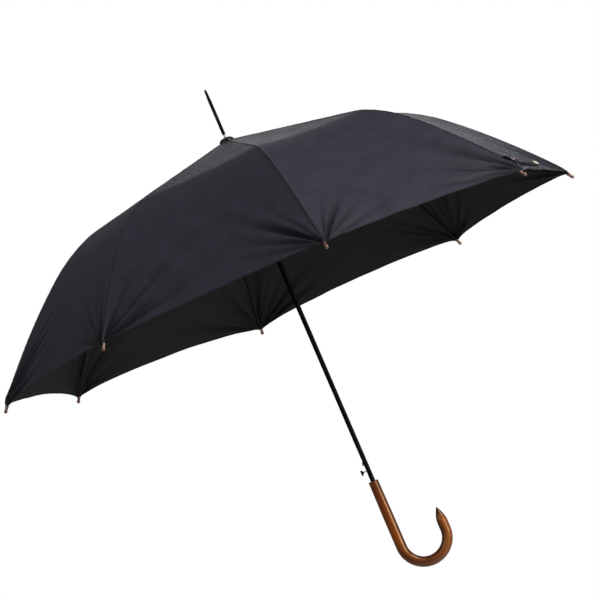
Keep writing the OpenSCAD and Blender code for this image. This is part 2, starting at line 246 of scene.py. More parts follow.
class Recipe:
    """A node material that is built up step by step."""

    def __init__(self, name, **constants):
        self.material = bpy.data.materials.new(name)
        self.material.use_nodes = True
        self.nodes, self.links = self.material.node_tree.nodes, self.material.node_tree.links
        self.shader = self.nodes["Principled BSDF"]
        for socket, value in constants.items():
            self.shader.inputs[socket.replace("_", " ")].default_value = value

    def put(self, socket, value):
        """Links a socket to another one, or sets it to a constant."""
        if isinstance(value, bpy.types.NodeSocket):
            self.links.new(value, socket)
        else:
            socket.default_value = value

    def stretched(self, vector, stretch):
        scaled = self.nodes.new("ShaderNodeVectorMath")
        scaled.operation = "MULTIPLY"
        self.put(scaled.inputs[0], vector)
        self.put(scaled.inputs[1], stretch)
        return scaled.outputs[0]

    def attribute(self, name, stretch=(1, 1, 1)):
        """A mesh attribute's vector, stretched by a factor on each axis."""
        source = self.nodes.new("ShaderNodeAttribute")
        source.attribute_name = name
        return self.stretched(source.outputs["Vector"], stretch)

    def place(self, stretch=(1, 1, 1)):
        """The point in the object's own space, in metres, stretched by a factor on each axis."""
        return self.stretched(self.nodes.new("ShaderNodeTexCoord").outputs["Object"], stretch)

    def noise(self, vector, scale, detail=3.0, roughness=0.5):
        made = self.nodes.new("ShaderNodeTexNoise")
        self.put(made.inputs["Vector"], vector)
        self.put(made.inputs["Scale"], scale)
        self.put(made.inputs["Detail"], detail)
        self.put(made.inputs["Roughness"], roughness)
        return made.outputs["Fac"]

    def ramp(self, factor, stops, smooth=False):
        """A colour ramp. A stop is (position, colour), or (position, value) for a grey one."""
        made = self.nodes.new("ShaderNodeValToRGB")
        self.links.new(factor, made.inputs[0])
        elements = made.color_ramp.elements
        while len(elements) < len(stops):
            elements.new(0.5)
        for element, (position, colour) in zip(elements, stops):
            element.position = position
            rgb = colour if isinstance(colour, tuple) else (colour,) * 3
            element.color = (*rgb, 1)
        if smooth:
            made.color_ramp.interpolation = "EASE"
        return made.outputs["Color"]

    def math(self, operation, a, b=0.0):
        made = self.nodes.new("ShaderNodeMath")
        made.operation = operation
        self.put(made.inputs[0], a)
        self.put(made.inputs[1], b)
        return made.outputs[0]

    def mix(self, factor, a, b):
        """Colour a to colour b by the factor."""
        made = self.nodes.new("ShaderNodeMix")
        made.data_type = "RGBA"
        self.put(made.inputs[0], factor)
        for socket, value in ((made.inputs[6], a), (made.inputs[7], b)):
            self.put(socket, (*value, 1) if isinstance(value, tuple) else value)
        return made.outputs[2]

    def wave(self, distance, pitch):
        """A sine with that pitch."""
        return self.math("SINE", self.math("MULTIPLY", distance, TURN / pitch))

    def stitches(self, distance, inset, along, pitch):
        """1 on the threads of a line of stitches, that far in from an edge."""
        gap = self.math("ABSOLUTE", self.math("SUBTRACT", distance, inset))
        sewn = self.math("GREATER_THAN", self.wave(along, pitch), STITCH_GAP)
        return self.math("MULTIPLY", self.math("LESS_THAN", gap, THREAD_HALF), sewn)

    def split(self, vector):
        made = self.nodes.new("ShaderNodeSeparateXYZ")
        self.links.new(vector, made.inputs[0])
        return made.outputs

    def feed(self, socket, value):
        self.links.new(value, self.shader.inputs[socket])

    def bump(self, height, strength, distance, after=None):
        made = self.nodes.new("ShaderNodeBump")
        made.inputs["Strength"].default_value = strength
        made.inputs["Distance"].default_value = distance
        self.links.new(height, made.inputs["Height"])
        if after is not None:
            self.links.new(after, made.inputs["Normal"])
        return made.outputs[0]


def enamel(name, colour, roughness, speck, coat=0.0, specular=0.25):
    """Sprayed or moulded black: faint mottling, fine lines along the shaft and an uneven gloss."""
    r = Recipe(name, Coat_Weight=coat, Coat_Roughness=0.12, Specular_IOR_Level=specular)
    spots = r.noise(r.place(), 900, 2)
    broad = r.noise(r.place(), 60, 3)
    scratch = r.noise(r.place((220, 220, 9)), 9, 4, 0.7)
    lighter = tuple(min(1, c * 1.6 + 0.004) for c in colour)
    r.feed("Base Color", r.mix(r.ramp(broad, [(0.35, 0.0), (0.7, 1.0)]), colour, lighter))
    uneven = r.ramp(scratch, [(0.35, roughness * 0.8), (0.7, min(1, roughness * 1.35))])
    r.feed("Roughness", uneven)
    r.feed("Normal", r.bump(spots, speck, 0.00002))
    return r.material


def bright_steel(name):
    """Drawn steel with lines along its length."""
    r = Recipe(name, Metallic=1.0, Anisotropic=0.3)
    lines = r.noise(r.place((900, 900, 30)), 3, 4, 0.6)
    r.feed("Base Color", r.ramp(lines, [(0.3, (0.50, 0.50, 0.49)), (0.75, (0.74, 0.74, 0.72))]))
    r.feed("Roughness", r.ramp(lines, [(0.3, 0.22), (0.75, 0.38)]))
    r.feed("Normal", r.bump(lines, 0.15, 0.00005))
    return r.material


def amber_plastic(name):
    """Copper brown, glossy and a little cloudy."""
    r = Recipe(name, Coat_Weight=0.9, Coat_Roughness=0.14, Specular_IOR_Level=0.6)
    cloud = r.noise(r.place(), 260, 4, 0.6)
    r.feed("Base Color", r.ramp(cloud, [(0.3, (0.07, 0.020, 0.008)), (0.7, (0.22, 0.078, 0.030))]))
    r.feed("Roughness", r.ramp(cloud, [(0.3, 0.16), (0.7, 0.26)]))
    r.feed("Normal", r.bump(r.noise(r.place(), 1500, 2), 0.1, 0.00003))
    return r.material


def cream_plastic(name):
    """Glossy cream, faintly mottled."""
    r = Recipe(name, Coat_Weight=0.4, Coat_Roughness=0.1)
    cloud = r.noise(r.place(), 400, 3)
    r.feed("Base Color", r.ramp(cloud, [(0.3, (0.58, 0.50, 0.38)), (0.7, (0.78, 0.71, 0.58))]))
    r.feed("Roughness", r.ramp(cloud, [(0.3, 0.25), (0.7, 0.4)]))
    return r.material


def woven_cloth(name, colour, sheen):
    """Tight satin cloth: weave, sewn seams along the ribs, a stitched hem, and shade painted into the creases
    of its folds.

    The mesh carries two attributes: weave, the metres across and along the gore; and edges, the metres to
    the nearest seam and to the hem, and how deep the cloth lies in a crease, from 0 to 1."""
    r = Recipe(name, Sheen_Weight=sheen, Sheen_Roughness=0.45, Specular_IOR_Level=0.12)
    r.shader.inputs["Sheen Tint"].default_value = (0.75, 0.78, 1.0, 1)
    weave = r.attribute("weave")
    across, along, _ = r.split(weave)
    seam, hem, crease = r.split(r.attribute("edges"))
    cells = r.math("MULTIPLY", r.wave(across, WEAVE_PITCH), r.wave(along, WEAVE_PITCH))
    slub = r.noise(r.attribute("weave", (60, 900, 1)), 1.0, 3)
    cloud = r.noise(weave, 26, 4, 0.55)
    base = r.mix(r.ramp(cloud, [(0.3, 0.0), (0.72, 1.0)]), shade(colour, 0.86), shade(colour, 1.16))
    base = r.mix(r.math("MULTIPLY", slub, 0.12), base, shade(colour, 0.7))
    # painted shade: the cloth is darkened in the creases of its tension folds, by how deep it lies in them
    base = r.mix(r.math("MULTIPLY", crease, 0.9), base, shade(colour, 0.16))
    near_seam = r.ramp(seam, [(0.0, 1.0), (0.0009, 0.0)])
    base = r.mix(r.math("MULTIPLY", near_seam, 0.7), base, shade(colour, 0.3))
    near_edge = r.ramp(hem, [(0.0012, 0.8), (0.0036, 0.0)])
    base = r.mix(near_edge, base, shade(colour, 0.3))
    seam_thread = r.stitches(seam, SEAM * 0.8, along, SEAM_STITCH)
    hem_thread = r.stitches(hem, HEM * 0.86, across, HEM_STITCH)
    thread = r.math("MAXIMUM", seam_thread, hem_thread)
    base = r.mix(r.math("MULTIPLY", thread, 0.8), base, shade(colour, 2.2))
    r.feed("Base Color", base)
    r.feed("Roughness", r.ramp(cloud, [(0.3, 0.52), (0.72, 0.64)]))
    height = r.math("ADD", r.math("MULTIPLY", cells, 0.5), r.math("MULTIPLY", thread, 3.0))
    fine = r.bump(height, 0.18, 0.00006)
    r.feed("Normal", r.bump(cloud, 0.05, 0.0012, after=fine))
    return r.material


def bent_wood(name):
    """Reddish brown varnished wood.

    The mesh carries two attributes, in metres: grain, the place towards the inside of the bend, to the side
    and along the handle, and ends, the distances along the handle to its point and from its top face."""
    r = Recipe(name, Coat_Weight=0.10, Coat_Roughness=0.18, Specular_IOR_Level=0.6)
    r.shader.inputs["Specular Tint"].default_value = (1.0, 0.70, 0.36, 1)
    broad = r.noise(r.attribute("grain", (70, 150, 8)), 1.0, 3, 0.55)
    rings = r.noise(r.attribute("grain", (420, 620, 13)), 1.0, 4, 0.6)
    pores = r.noise(r.attribute("grain", (2600, 2600, 110)), 1.0, 2, 0.6)
    cloud = r.noise(r.attribute("grain", (60, 60, 14)), 1.0, 4, 0.6)
    figure = r.math("ADD", r.math("MULTIPLY", rings, 0.45), r.math("MULTIPLY", broad, 0.55))
    base = r.ramp(figure, [(0.34, (0.075, 0.012, 0.002)), (0.46, (0.18, 0.036, 0.004)),
                           (0.54, (0.28, 0.070, 0.009)), (0.66, (0.42, 0.145, 0.026))])
    base = r.mix(r.ramp(cloud, [(0.42, 0.0), (0.68, 0.7)]), base, (0.075, 0.012, 0.004))
    # painted shade: the side towards the inside of the bend is darkened along the whole handle
    inside, _, _ = r.split(r.attribute("grain"))
    inner_side_shade = r.ramp(r.math("MULTIPLY", inside, 100), [(0.30, 0.0), (0.80, 0.75)])
    base = r.mix(inner_side_shade, base, (0.022, 0.006, 0.003))
    base = r.mix(r.ramp(pores, [(0.6, 0.0), (0.72, 0.35)]), base, (0.07, 0.020, 0.006))
    point, top, _ = r.split(r.attribute("ends"))
    # darker around the bottom of the crook
    crook_bottom_darker = r.ramp(r.math("MULTIPLY", top, 4), [(0.42, 0.0), (0.70, 0.6), (0.98, 0.0)], smooth=True)
    base = r.mix(crook_bottom_darker, base, (0.040, 0.015, 0.010))
    # near black over the last few millimetres of the point
    point_darker = r.ramp(r.math("MULTIPLY", point, 20), [(0.10, 1.0), (0.20, 0.75), (0.40, 0.0)], smooth=True)
    base = r.mix(point_darker, base, (0.006, 0.004, 0.004))
    rim = r.ramp(r.math("MULTIPLY", top, 100), [(0.02, 0.8), (0.16, 0.0)])
    base = r.mix(rim, base, (0.03, 0.010, 0.005))
    r.feed("Base Color", base)
    r.feed("Roughness", r.ramp(cloud, [(0.3, 0.22), (0.7, 0.34)]))
    r.feed("Normal", r.bump(r.math("ADD", r.math("MULTIPLY", pores, 0.15), rings), 0.06, 0.00012))
    return r.material


def band_cloth(name, colour):
    """A ribbed woven band with a stitched border, on the mesh's own weave coordinates."""
    r = Recipe(name, Sheen_Weight=0.01, Sheen_Roughness=0.5, Specular_IOR_Level=0.05)
    across, along, _ = r.split(r.attribute("weave"))
    ribs = r.wave(along, BAND_PITCH)
    yarns = r.wave(across, BAND_YARN)
    edge, _, _ = r.split(r.attribute("edges"))
    thread = r.stitches(edge, BAND_BORDER, along, SEAM_STITCH)
    cloud = r.noise(r.attribute("weave"), 90, 3)
    base = r.mix(r.ramp(cloud, [(0.3, 0.0), (0.7, 1.0)]), shade(colour, 0.8), shade(colour, 1.3))
    base = r.mix(r.math("MULTIPLY", thread, 0.8), base, shade(colour, 2.5))
    r.feed("Base Color", base)
    r.feed("Roughness", r.ramp(cloud, [(0.3, 0.6), (0.7, 0.75)]))
    fine = r.math("ADD", r.math("MULTIPLY", yarns, 0.3), thread)
    height = r.math("ADD", r.math("MULTIPLY", ribs, 0.5), fine)
    r.feed("Normal", r.bump(height, 0.4, 0.0001))
    return r.material


shaft_black = enamel("shaft_black", (0.0015, 0.0015, 0.0018), 0.36, 0.04, specular=0.05)
ferrule_black = enamel("ferrule_black", (0.0018, 0.0018, 0.0021), 0.40, 0.05, specular=0.05)
gloss_black = enamel("gloss_black", (0.003, 0.003, 0.0035), 0.24, 0.05, coat=0.15, specular=0.2)
runner_black = enamel("runner_black", (0.005, 0.005, 0.006), 0.50, 0.15, specular=0.15)
rib_black = enamel("rib_black", (0.005, 0.005, 0.0055), 0.40, 0.10, specular=0.15)
steel = bright_steel("bright_steel")
tip_brown = amber_plastic("tip_brown")
cream = cream_plastic("snap_cream")
canopy_cloth = woven_cloth("canopy_cloth", (0.0240, 0.0233, 0.0335), sheen=0.02)
# the canopy's inner face: its neutral grey is the cloth's own, and its extra darkness against the outer face
# is painted shade of the underside
inside_cloth_shaded = woven_cloth("canopy_inside", (0.0132, 0.0133, 0.0135), sheen=0.01)
strap_cloth = band_cloth("strap_cloth", (0.004, 0.004, 0.005))
handle_wood = bent_wood("handle_wood")


# ---------------------------------------------------------------- meshes

def new_piece(name, points, faces, materials, face_material=None, smooth=True):
    """A mesh object in the frame's own space."""
    mesh = bpy.data.meshes.new(name)
    mesh.from_pydata([tuple(p) for p in points], [], [tuple(f) for f in faces])
    for m in materials:
        mesh.materials.append(m)
    if face_material is not None:
        mesh.polygons.foreach_set("material_index", np.asarray(face_material, np.int32))
    mesh.polygons.foreach_set("use_smooth", np.broadcast_to(smooth, len(faces)).astype(bool))
    mesh.update()
    piece = bpy.data.objects.new(name, mesh)
    bpy.context.scene.collection.objects.link(piece)
    return piece


def add_vectors(piece, name, vectors):
    """A vector attribute on the piece's points, for its material."""
    attribute = piece.data.attributes.new(name, "FLOAT_VECTOR", "POINT")
    attribute.data.foreach_set("vector", np.asarray(vectors, np.float32).ravel())


def grid_normals(p):
    """Unit normals of a grid of points [rows, columns, 3], by central differences."""
    down = np.gradient(p, axis=0)
    side = np.gradient(p, axis=1)
    n = np.cross(side, down)
    return n / np.maximum(np.linalg.norm(n, axis=2, keepdims=True), 1e-12)


def about_z(points, angle):
    """Points turned about the shaft's axis."""
    c, s = math.cos(angle), math.sin(angle)
    x, y, z = points[..., 0], points[..., 1], points[..., 2]
    return np.stack([x * c - y * s, x * s + y * c, z], -1)


def bands(rings, sides, flip=False):
    """Quads between each ring of points and the next."""
    faces = []
    for ring in range(rings - 1):
        for i in range(sides):
            a, b = ring * sides + i, ring * sides + (i + 1) % sides
            faces.append((a, b, b + sides, a + sides) if flip else (a, a + sides, b + sides, b))
    return faces


def circle(sides):
    return [(math.cos(TURN * i / sides), math.sin(TURN * i / sides)) for i in range(sides)]


# ---------------------------------------------------------------- the canopy

STEP = TURN / RIBS
SIDE_MM = [0, 0.6, 1.4, 2.2, 2.8, 4.2]                # columns beside each rib, by their distance from it
SIDE_WIDTH = 80 * MM                                  # a gore narrower than this has them closer together
INTERIOR = 84                                         # gaps between the columns of the rest
HEM_MM = [0, 0.8, 2.4, 4.4, 6.2, 7.2, 8.4, 10.4]      # rows near the hem, by their distance from it
FOLDED_MM = (12.6, 112, 2.2)                          # then rows over the folds: from, to and apart
SEAM_LAP_COLUMNS = 2                                  # columns of the lap over the rib, onto the gore before
FOLD_DEPTH = 5.6 * MM                                 # height of a tension fold of depth 1
FOLD_RISE = 12 * MM                                   # how far from its corner a fold takes to rise
FOLD_LEAST = 3.6 * MM                                 # least half width of a crease
WAVE_HEIGHT = 0.28 * MM                               # of the slow waves in the cloth
SEAM_HEIGHT, PUCKER = 0.45 * MM, 11 * MM              # thickness of the seam's lap, and pitch of its puckers
HEM_HEIGHT = 0.25 * MM                                # thickness that the hem adds
DRAWN_IN_USUAL = 0.02                                 # how far taut cloth is drawn in between ribs, in widths
DRAWN_IN = {4: 0.008, 5: 0.0}                         # the gores that differ


def graded(count, closeness, fade):
    """Shares from 0 to 1, closer together near both ends."""
    u = (np.arange(count) + 0.5) / count
    gap = 1 / (1 + closeness * (np.exp(-u / fade) + np.exp(-(1 - u) / fade)))
    return np.concatenate([[0], np.cumsum(gap) / gap.sum()])


SIDE = np.array(SIDE_MM) * MM
MIDDLE = graded(INTERIOR, 2.6, 0.16)


def columns_at(width):
    """Distances across a gore of that width for each column."""
    side = SIDE * min(1.0, width / SIDE_WIDTH)
    middle = side[-1] + (width - 2 * side[-1]) * MIDDLE
    return np.concatenate([side[:-1], middle, (width - side[:-1])[::-1]])


def hem_run(k, f):
    """Where the hem of gore k is, along the rib line, at share f of the gore's width."""
    from_corner = np.minimum(f, 1 - f) * HEM_WIDTH
    flare = CORNER_DROP * (1 - np.exp(-from_corner / CORNER_FLARE))
    return RUN_CORNER - flare - SCALLOP_MM[k] * MM * 4 * f * (1 - f)


def gore_rows():
    """Runs of the rows over the rib, and the rows at which the two spring hinges lie."""
    inner = RUN_MID * graded(20, 0.5, 0.15)
    mid = RUN_MID + (RUN_OUTER - RUN_MID) * np.linspace(0, 1, 13)[1:]
    length = RUN_CORNER - RUN_OUTER
    near = np.concatenate([np.array(HEM_MM) * MM, np.arange(*[mm * MM for mm in FOLDED_MM])])
    far = np.linspace(near[-1], length, 20)[1:]
    outer = RUN_CORNER - np.concatenate([near, far])[::-1][1:]
    return np.concatenate([inner, mid, outer]), len(inner) - 1, len(inner) + len(mid) - 1


ROWS, MID_ROW, OUTER_ROW = gore_rows()


# the folds at the corner nearest the camera, as seen in the photograph: degrees from the rib, half width in
# degrees, depth, and length in mm
NEAR_CORNER = {
    (6, "right"): [(22, 3.4, 0.8, 90), (38, 5.2, 1.9, 115), (57, 4.2, 0.9, 105), (72, 3.6, 0.7, 100)],
    (7, "left"): [(19, 3.0, 0.9, 65), (36, 4.4, 1.8, 75), (53, 3.8, 0.8, 80), (72, 3.4, 0.7, 95)],
}


def corner_folds(k, side, rng, count=5):
    """The tension folds that leave one corner of a gore: angle from the rib, half width, depth, length."""
    drawn = np.stack([
        np.radians(np.linspace(14, 72, count) + rng.uniform(-4, 4, count)),
        np.radians(rng.uniform(3.4, 6.0, count)),
        rng.uniform(0.7, 1.3, count),
        rng.uniform(70, 135, count) * MM,
    ], -1)
    if (k, side) in NEAR_CORNER:
        return np.array(NEAR_CORNER[k, side]) * (math.pi / 180, math.pi / 180, 1, MM)
    return drawn


def fold_height(up_rib, across, folds):
    """Height of the tension folds at points that far up the rib and across from a corner, and how deep in a
    crease each point lies, from 0 to 1."""
    d = np.hypot(up_rib, across)
    theta = np.arctan2(across, np.maximum(up_rib, 1e-6))
    height, deep = np.zeros_like(d), np.zeros_like(d)
    for angle, half, depth, length in folds:
        rise = (1 - np.exp(-(d / FOLD_RISE) ** 1.5)) * np.exp(-(d / length) ** 2)
        aside = d * (theta - angle)
        spread = (half * d) ** 2 + FOLD_LEAST ** 2
        crease = np.exp(-aside ** 2 / spread)
        shoulders = 0.55 * np.exp(-aside ** 2 / (6.8 * spread))
        height += FOLD_DEPTH * depth * rise * (shoulders - crease)
        deep += depth * rise * crease
    return height, np.clip(deep, 0, 1)


def within(distance, edge, softness):
    """1 nearer than the edge and 0 past it, eased over that softness."""
    return 1 / (1 + np.exp(np.minimum((distance - edge) / softness, 60)))


def gore_surface(k):
    """The outer face of gore k, as if its rib were at azimuth 0: its points [rows, columns, 3], and the edges
    and weave vectors that its material needs there."""
    rng = np.random.RandomState(40 + k)
    columns = len(columns_at(1.0))
    points = np.zeros((len(ROWS), columns, 3))
    across = np.zeros((len(ROWS), columns))
    runs = np.zeros((len(ROWS), columns))
    widths = np.zeros((len(ROWS), columns))
    for i, row in enumerate(ROWS):
        radius, _ = line_at(row)
        width = 2 * radius * math.sin(STEP / 2)
        y = columns_at(width)
        f = y / width
        if i > OUTER_ROW:
            run = RUN_OUTER + (row - RUN_OUTER) * (hem_run(k, f) - RUN_OUTER) / (RUN_CORNER - RUN_OUTER)
        else:
            run = np.full(columns, row)
        r, z = line_at(run)
        a = np.stack([r, np.zeros(columns), z], -1)
        b = about_z(a, STEP)
        points[i] = a + f[:, None] * (b - a)
        widths[i] = 2 * r * math.sin(STEP / 2)
        across[i] = f * widths[i]
        runs[i] = run
    n = -grid_normals(points)
    f = across / widths
    arch = 4 * f * (1 - f)
    share = np.clip(runs / RUN_CORNER, 0, 1)
    # the taut cloth is drawn inwards a little between its ribs
    lift = -DRAWN_IN.get(k, DRAWN_IN_USUAL) * widths * arch * np.sin(np.pi * share ** 0.9) ** 0.8
    left, right = corner_folds(k, "left", rng), corner_folds(k, "right", rng)
    up_rib = RUN_CORNER - runs
    left_folds, left_deep = fold_height(up_rib, across, left)
    right_folds, right_deep = fold_height(up_rib, widths - across, right)
    lift += left_folds + right_folds
    # slow waves, which show as faint bands in the sheen
    for _ in range(5):
        wave = rng.uniform(45, 130) * MM
        turn = rng.uniform(-0.9, 0.9)
        phase = rng.uniform(0, TURN)
        u = across * math.cos(turn) + runs * math.sin(turn)
        lift += WAVE_HEIGHT * np.sin(TURN * u / wave + phase) * arch * share
    hem = hem_run(k, f) - runs
    seam_left, seam_right = across, widths - across
    # the lap of the seam on this gore's own rib, puckered by its stitches
    pucker = 1 + 0.3 * np.sin(TURN * runs / PUCKER)
    lift += SEAM_HEIGHT * pucker * within(seam_left, SEAM, 0.25 * MM)
    # the hem is double cloth, rounded at its edge
    lift += HEM_HEIGHT * within(hem, HEM, 0.3 * MM)
    lift -= HEM_HEIGHT * np.exp(-((hem / MM) ** 2))
    top = points + lift[..., None] * n
    # the crease depth in edges is used by the cloth's material for painted shade in the folds
    edges = np.stack([np.minimum(seam_left, seam_right), hem, np.maximum(left_deep, right_deep)], -1)
    weave = np.stack([across, runs, np.zeros_like(runs)], -1)
    # the lap goes on over the rib, onto the edge of the gore before
    over = slice(SEAM_LAP_COLUMNS, 0, -1)
    return (np.concatenate([top[:, over] * (1, -1, 1), top], axis=1),
            np.concatenate([edges[:, over], edges], axis=1),
            np.concatenate([weave[:, over] * (-1, 1, 1), weave], axis=1))


def shell(top, under):
    """Points and faces of a closed shell of cloth between two grids, and which faces are which."""
    rows, cols = top.shape[:2]
    count = rows * cols
    at = np.arange(count).reshape(rows, cols)
    a, b, c, d = at[:-1, :-1], at[1:, :-1], at[1:, 1:], at[:-1, 1:]
    outer = np.stack([a, b, c, d], -1).reshape(-1, 4)
    inner = np.stack([d, c, b, a], -1).reshape(-1, 4) + count

    def rim(line):
        return np.stack([line[:-1], line[:-1] + count, line[1:] + count, line[1:]], -1)

    rims = np.concatenate([rim(at[:, 0])[:, ::-1], rim(at[:, -1]), rim(at[0, :]), rim(at[-1, :])[:, ::-1]])
    points = np.concatenate([top.reshape(-1, 3), under.reshape(-1, 3)])
    return points, outer, inner, rims


def set_normals(piece, outer, inner, rims, normals):
    """Shades a shell with the normals of the whole gore, so that no line shows where two zones meet."""
    count = len(normals)
    p = np.array([v.co for v in piece.data.vertices])
    flat = np.cross(p[rims[:, 1]] - p[rims[:, 0]], p[rims[:, 2]] - p[rims[:, 0]])
    flat /= np.maximum(np.linalg.norm(flat, axis=1, keepdims=True), 1e-12)
    both = np.concatenate([normals[outer.ravel()], -normals[inner.ravel() - count],
                           np.repeat(flat, 4, axis=0)])
    piece.data.normals_split_custom_set([tuple(n) for n in both])


LAP_ROWS = 5
LAP_MIN = 1.2 * MM         # how far a zone laps up under the one above it at its own rib
LAP_DEPTH = 0.15 * MM      # gap between the two there
# first row, last row, slope, body, and how much further the zone laps at its far side
ZONES = {
    "inner": (0, MID_ROW, INNER_SLOPE, "rib_inner", 0),
    "mid": (MID_ROW, OUTER_ROW, MID_SLOPE, "rib_mid", 8.5 * MM),
    "outer": (OUTER_ROW, len(ROWS) - 1, OUTER_SLOPE, "rib_outer", 18 * MM),
}


def gather(piece):
    """Gives the piece a mesh of its own."""
    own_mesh(piece)


def lap_rows(grid, first, lap):
    """Values of a grid of the gore over the strip that laps up under the zone above, from its edge down."""
    columns = grid.shape[1]
    widest = LAP_MIN + lap * np.linspace(0, 1, columns)
    made = np.zeros((LAP_ROWS, columns, grid.shape[2]))
    for i in range(LAP_ROWS):
        run = ROWS[first] - widest * (1 - i / LAP_ROWS)
        for j in range(columns):
            for axis in range(grid.shape[2]):
                made[i, j, axis] = np.interp(run[j], ROWS[:first + 1], grid[:first + 1, j, axis])
    return made


def make_gore(k):
    """Gore k in three zones, each of which rides one length of rib k."""
    whole, gore_edges, gore_weave = gore_surface(k)
    whole = about_z(whole, azimuth(k))
    whole_normals = -grid_normals(whole)
    for zone, (first, last, slope, body, lap) in ZONES.items():
        rows = slice(first, last + 1)
        top, normals, edges, weave = whole[rows], whole_normals[rows], gore_edges[rows], gore_weave[rows]
        if lap:
            strip_normals = lap_rows(whole_normals, first, lap)
            strip = lap_rows(whole, first, lap) - (CLOTH_T + LAP_DEPTH) * strip_normals
            top, normals = np.concatenate([strip, top]), np.concatenate([strip_normals, normals])
            edges = np.concatenate([lap_rows(gore_edges, first, lap), edges])
            weave = np.concatenate([lap_rows(gore_weave, first, lap), weave])
        under = top - CLOTH_T * normals
        points, outer, inner, rims = shell(top, under)
        faces = np.concatenate([outer, inner, rims])
        index = np.concatenate([np.zeros(len(outer)), np.ones(len(inner)), np.zeros(len(rims))])
        smooth = np.arange(len(faces)) < len(outer) + len(inner)
        piece = new_piece(f"canopy_{zone}_{k}", points, faces, [canopy_cloth, inside_cloth_shaded],
                          index, smooth)
        add_vectors(piece, "edges", np.tile(edges.reshape(-1, 3), (2, 1)))
        add_vectors(piece, "weave", np.tile(weave.reshape(-1, 3), (2, 1)))
        set_normals(piece, outer, inner, rims, normals.reshape(-1, 3))
        if zone == "mid":
            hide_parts(f"gore_{k}")
        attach(piece, f"{body}_{k}")
        gather(piece)


for k in range(1, RIBS + 1):
    make_gore(k)


# ---------------------------------------------------------------- the closure strap

STRAP_GORE = 8
STRAP_W = 14 * MM
STRAP_T = 0.9 * MM
STRAP_LEN = 250 * MM
STRAP_START, STRAP_SPAN = 0.028, 0.60      # its start and its reach, in shares of the gore's width
STRAP_STATIONS = 60
STRAP_ROUNDED = 0.035                      # share of its length over which the free end is rounded
# the band's section: share of its width and of its thickness
STRAP_PROFILE = [(-0.5, 0.0), (-0.5, 0.6), (-0.42, 1.0), (-0.2, 1.0),
                 (0.2, 1.0), (0.42, 1.0), (0.5, 0.6), (0.5, 0.0)]
STRAP_NORMAL = np.array([math.sin(OUTER_SLOPE) * math.cos(STEP / 2),
                         math.sin(OUTER_SLOPE) * math.sin(STEP / 2), math.cos(OUTER_SLOPE)])
STRAP_NORMAL /= np.linalg.norm(STRAP_NORMAL)
STRAP_CLOTH = about_z(gore_surface(STRAP_GORE)[0], azimuth(STRAP_GORE)).reshape(-1, 3)

# place along the band, radius and material of each snap, and their section: shares of radius and of height
SNAPS = [(STRAP_START + 0.022, 6 * MM, 0), (STRAP_START + 0.09, 4 * MM, 2),
         (STRAP_START + STRAP_SPAN - 0.035, 5.5 * MM, 1)]
SNAP_SIDES = 32
SNAP_HEIGHT = 2.6 * MM
SNAP_RISE = 1.1 * MM                       # of its foot over the ridges under the band
SNAP_PROFILE = [(1.0, 0.0), (1.0, 0.45), (0.93, 0.75), (0.78, 0.92),
                (0.5, 1.0), (0.36, 0.96), (0.3, 0.78), (0.0, 0.74)]


def over_gore(f, up_hem, lift):
    """A point over the strap's gore at share f of its width, that far up from the line of its corners."""
    r, z = line_at(RUN_CORNER - up_hem)
    a = np.array([float(r), 0.0, float(z)])
    flat = a + f * (about_z(a, STEP) - a)
    return about_z(flat + lift * STRAP_NORMAL, azimuth(STRAP_GORE))


def ridge_height(f, up_hem):
    """How high the ridges of the gore's cloth stand near that point, over its flat chord."""
    base = over_gore(f, up_hem, 0)
    apart = STRAP_CLOTH - base
    normal = over_gore(f, up_hem, 1.0) - base
    high = apart @ normal
    aside = np.linalg.norm(apart - high[:, None] * normal, axis=1)
    weight = np.exp(high / (0.8 * MM) - (aside / (5 * MM)) ** 2)
    return float((weight * high).sum() / weight.sum())


def band_up(f):
    """How far up from the corners' line the band's middle lies: its sewn end is the higher one."""
    return 32 * MM + 13 * MM * math.exp(-f / 0.07)


def make_strap():
    """A band along the hem of its gore, laid on the ridges of the cloth."""
    points, weave, edges = [], [], []
    for i in range(STRAP_STATIONS):
        t = i / (STRAP_STATIONS - 1)
        f = STRAP_START + STRAP_SPAN * t
        wave = 0.9 * MM * math.sin(TURN * t * 2.3 + 0.6) * math.sin(math.pi * t)
        rise = 0.3 * MM + 0.3 * MM * (1 + math.sin(TURN * t * 3.1)) * math.sin(math.pi * t)
        past = max(0.0, (t - (1 - STRAP_ROUNDED)) / STRAP_ROUNDED)
        round_end = math.sqrt(max(0.0, 1 - past ** 2))
        for across, high in STRAP_PROFILE:
            width = across * STRAP_W * (0.25 + 0.75 * round_end)
            up = band_up(f) + wave + width
            points.append(over_gore(f, up, ridge_height(f, up) + rise + high * STRAP_T))
            weave.append((width, t * STRAP_LEN, 0))
            edges.append((STRAP_W / 2 - abs(width), 0, 0))
    n = len(STRAP_PROFILE)
    faces = bands(STRAP_STATIONS, n, flip=True)
    faces.append(tuple(range(n))[::-1])
    faces.append(tuple((STRAP_STATIONS - 1) * n + j for j in range(n)))
    strap = new_piece("closure_band", points, faces, [strap_cloth])
    add_vectors(strap, "weave", weave)
    add_vectors(strap, "edges", edges)
    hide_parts("closure_strap")
    return strap


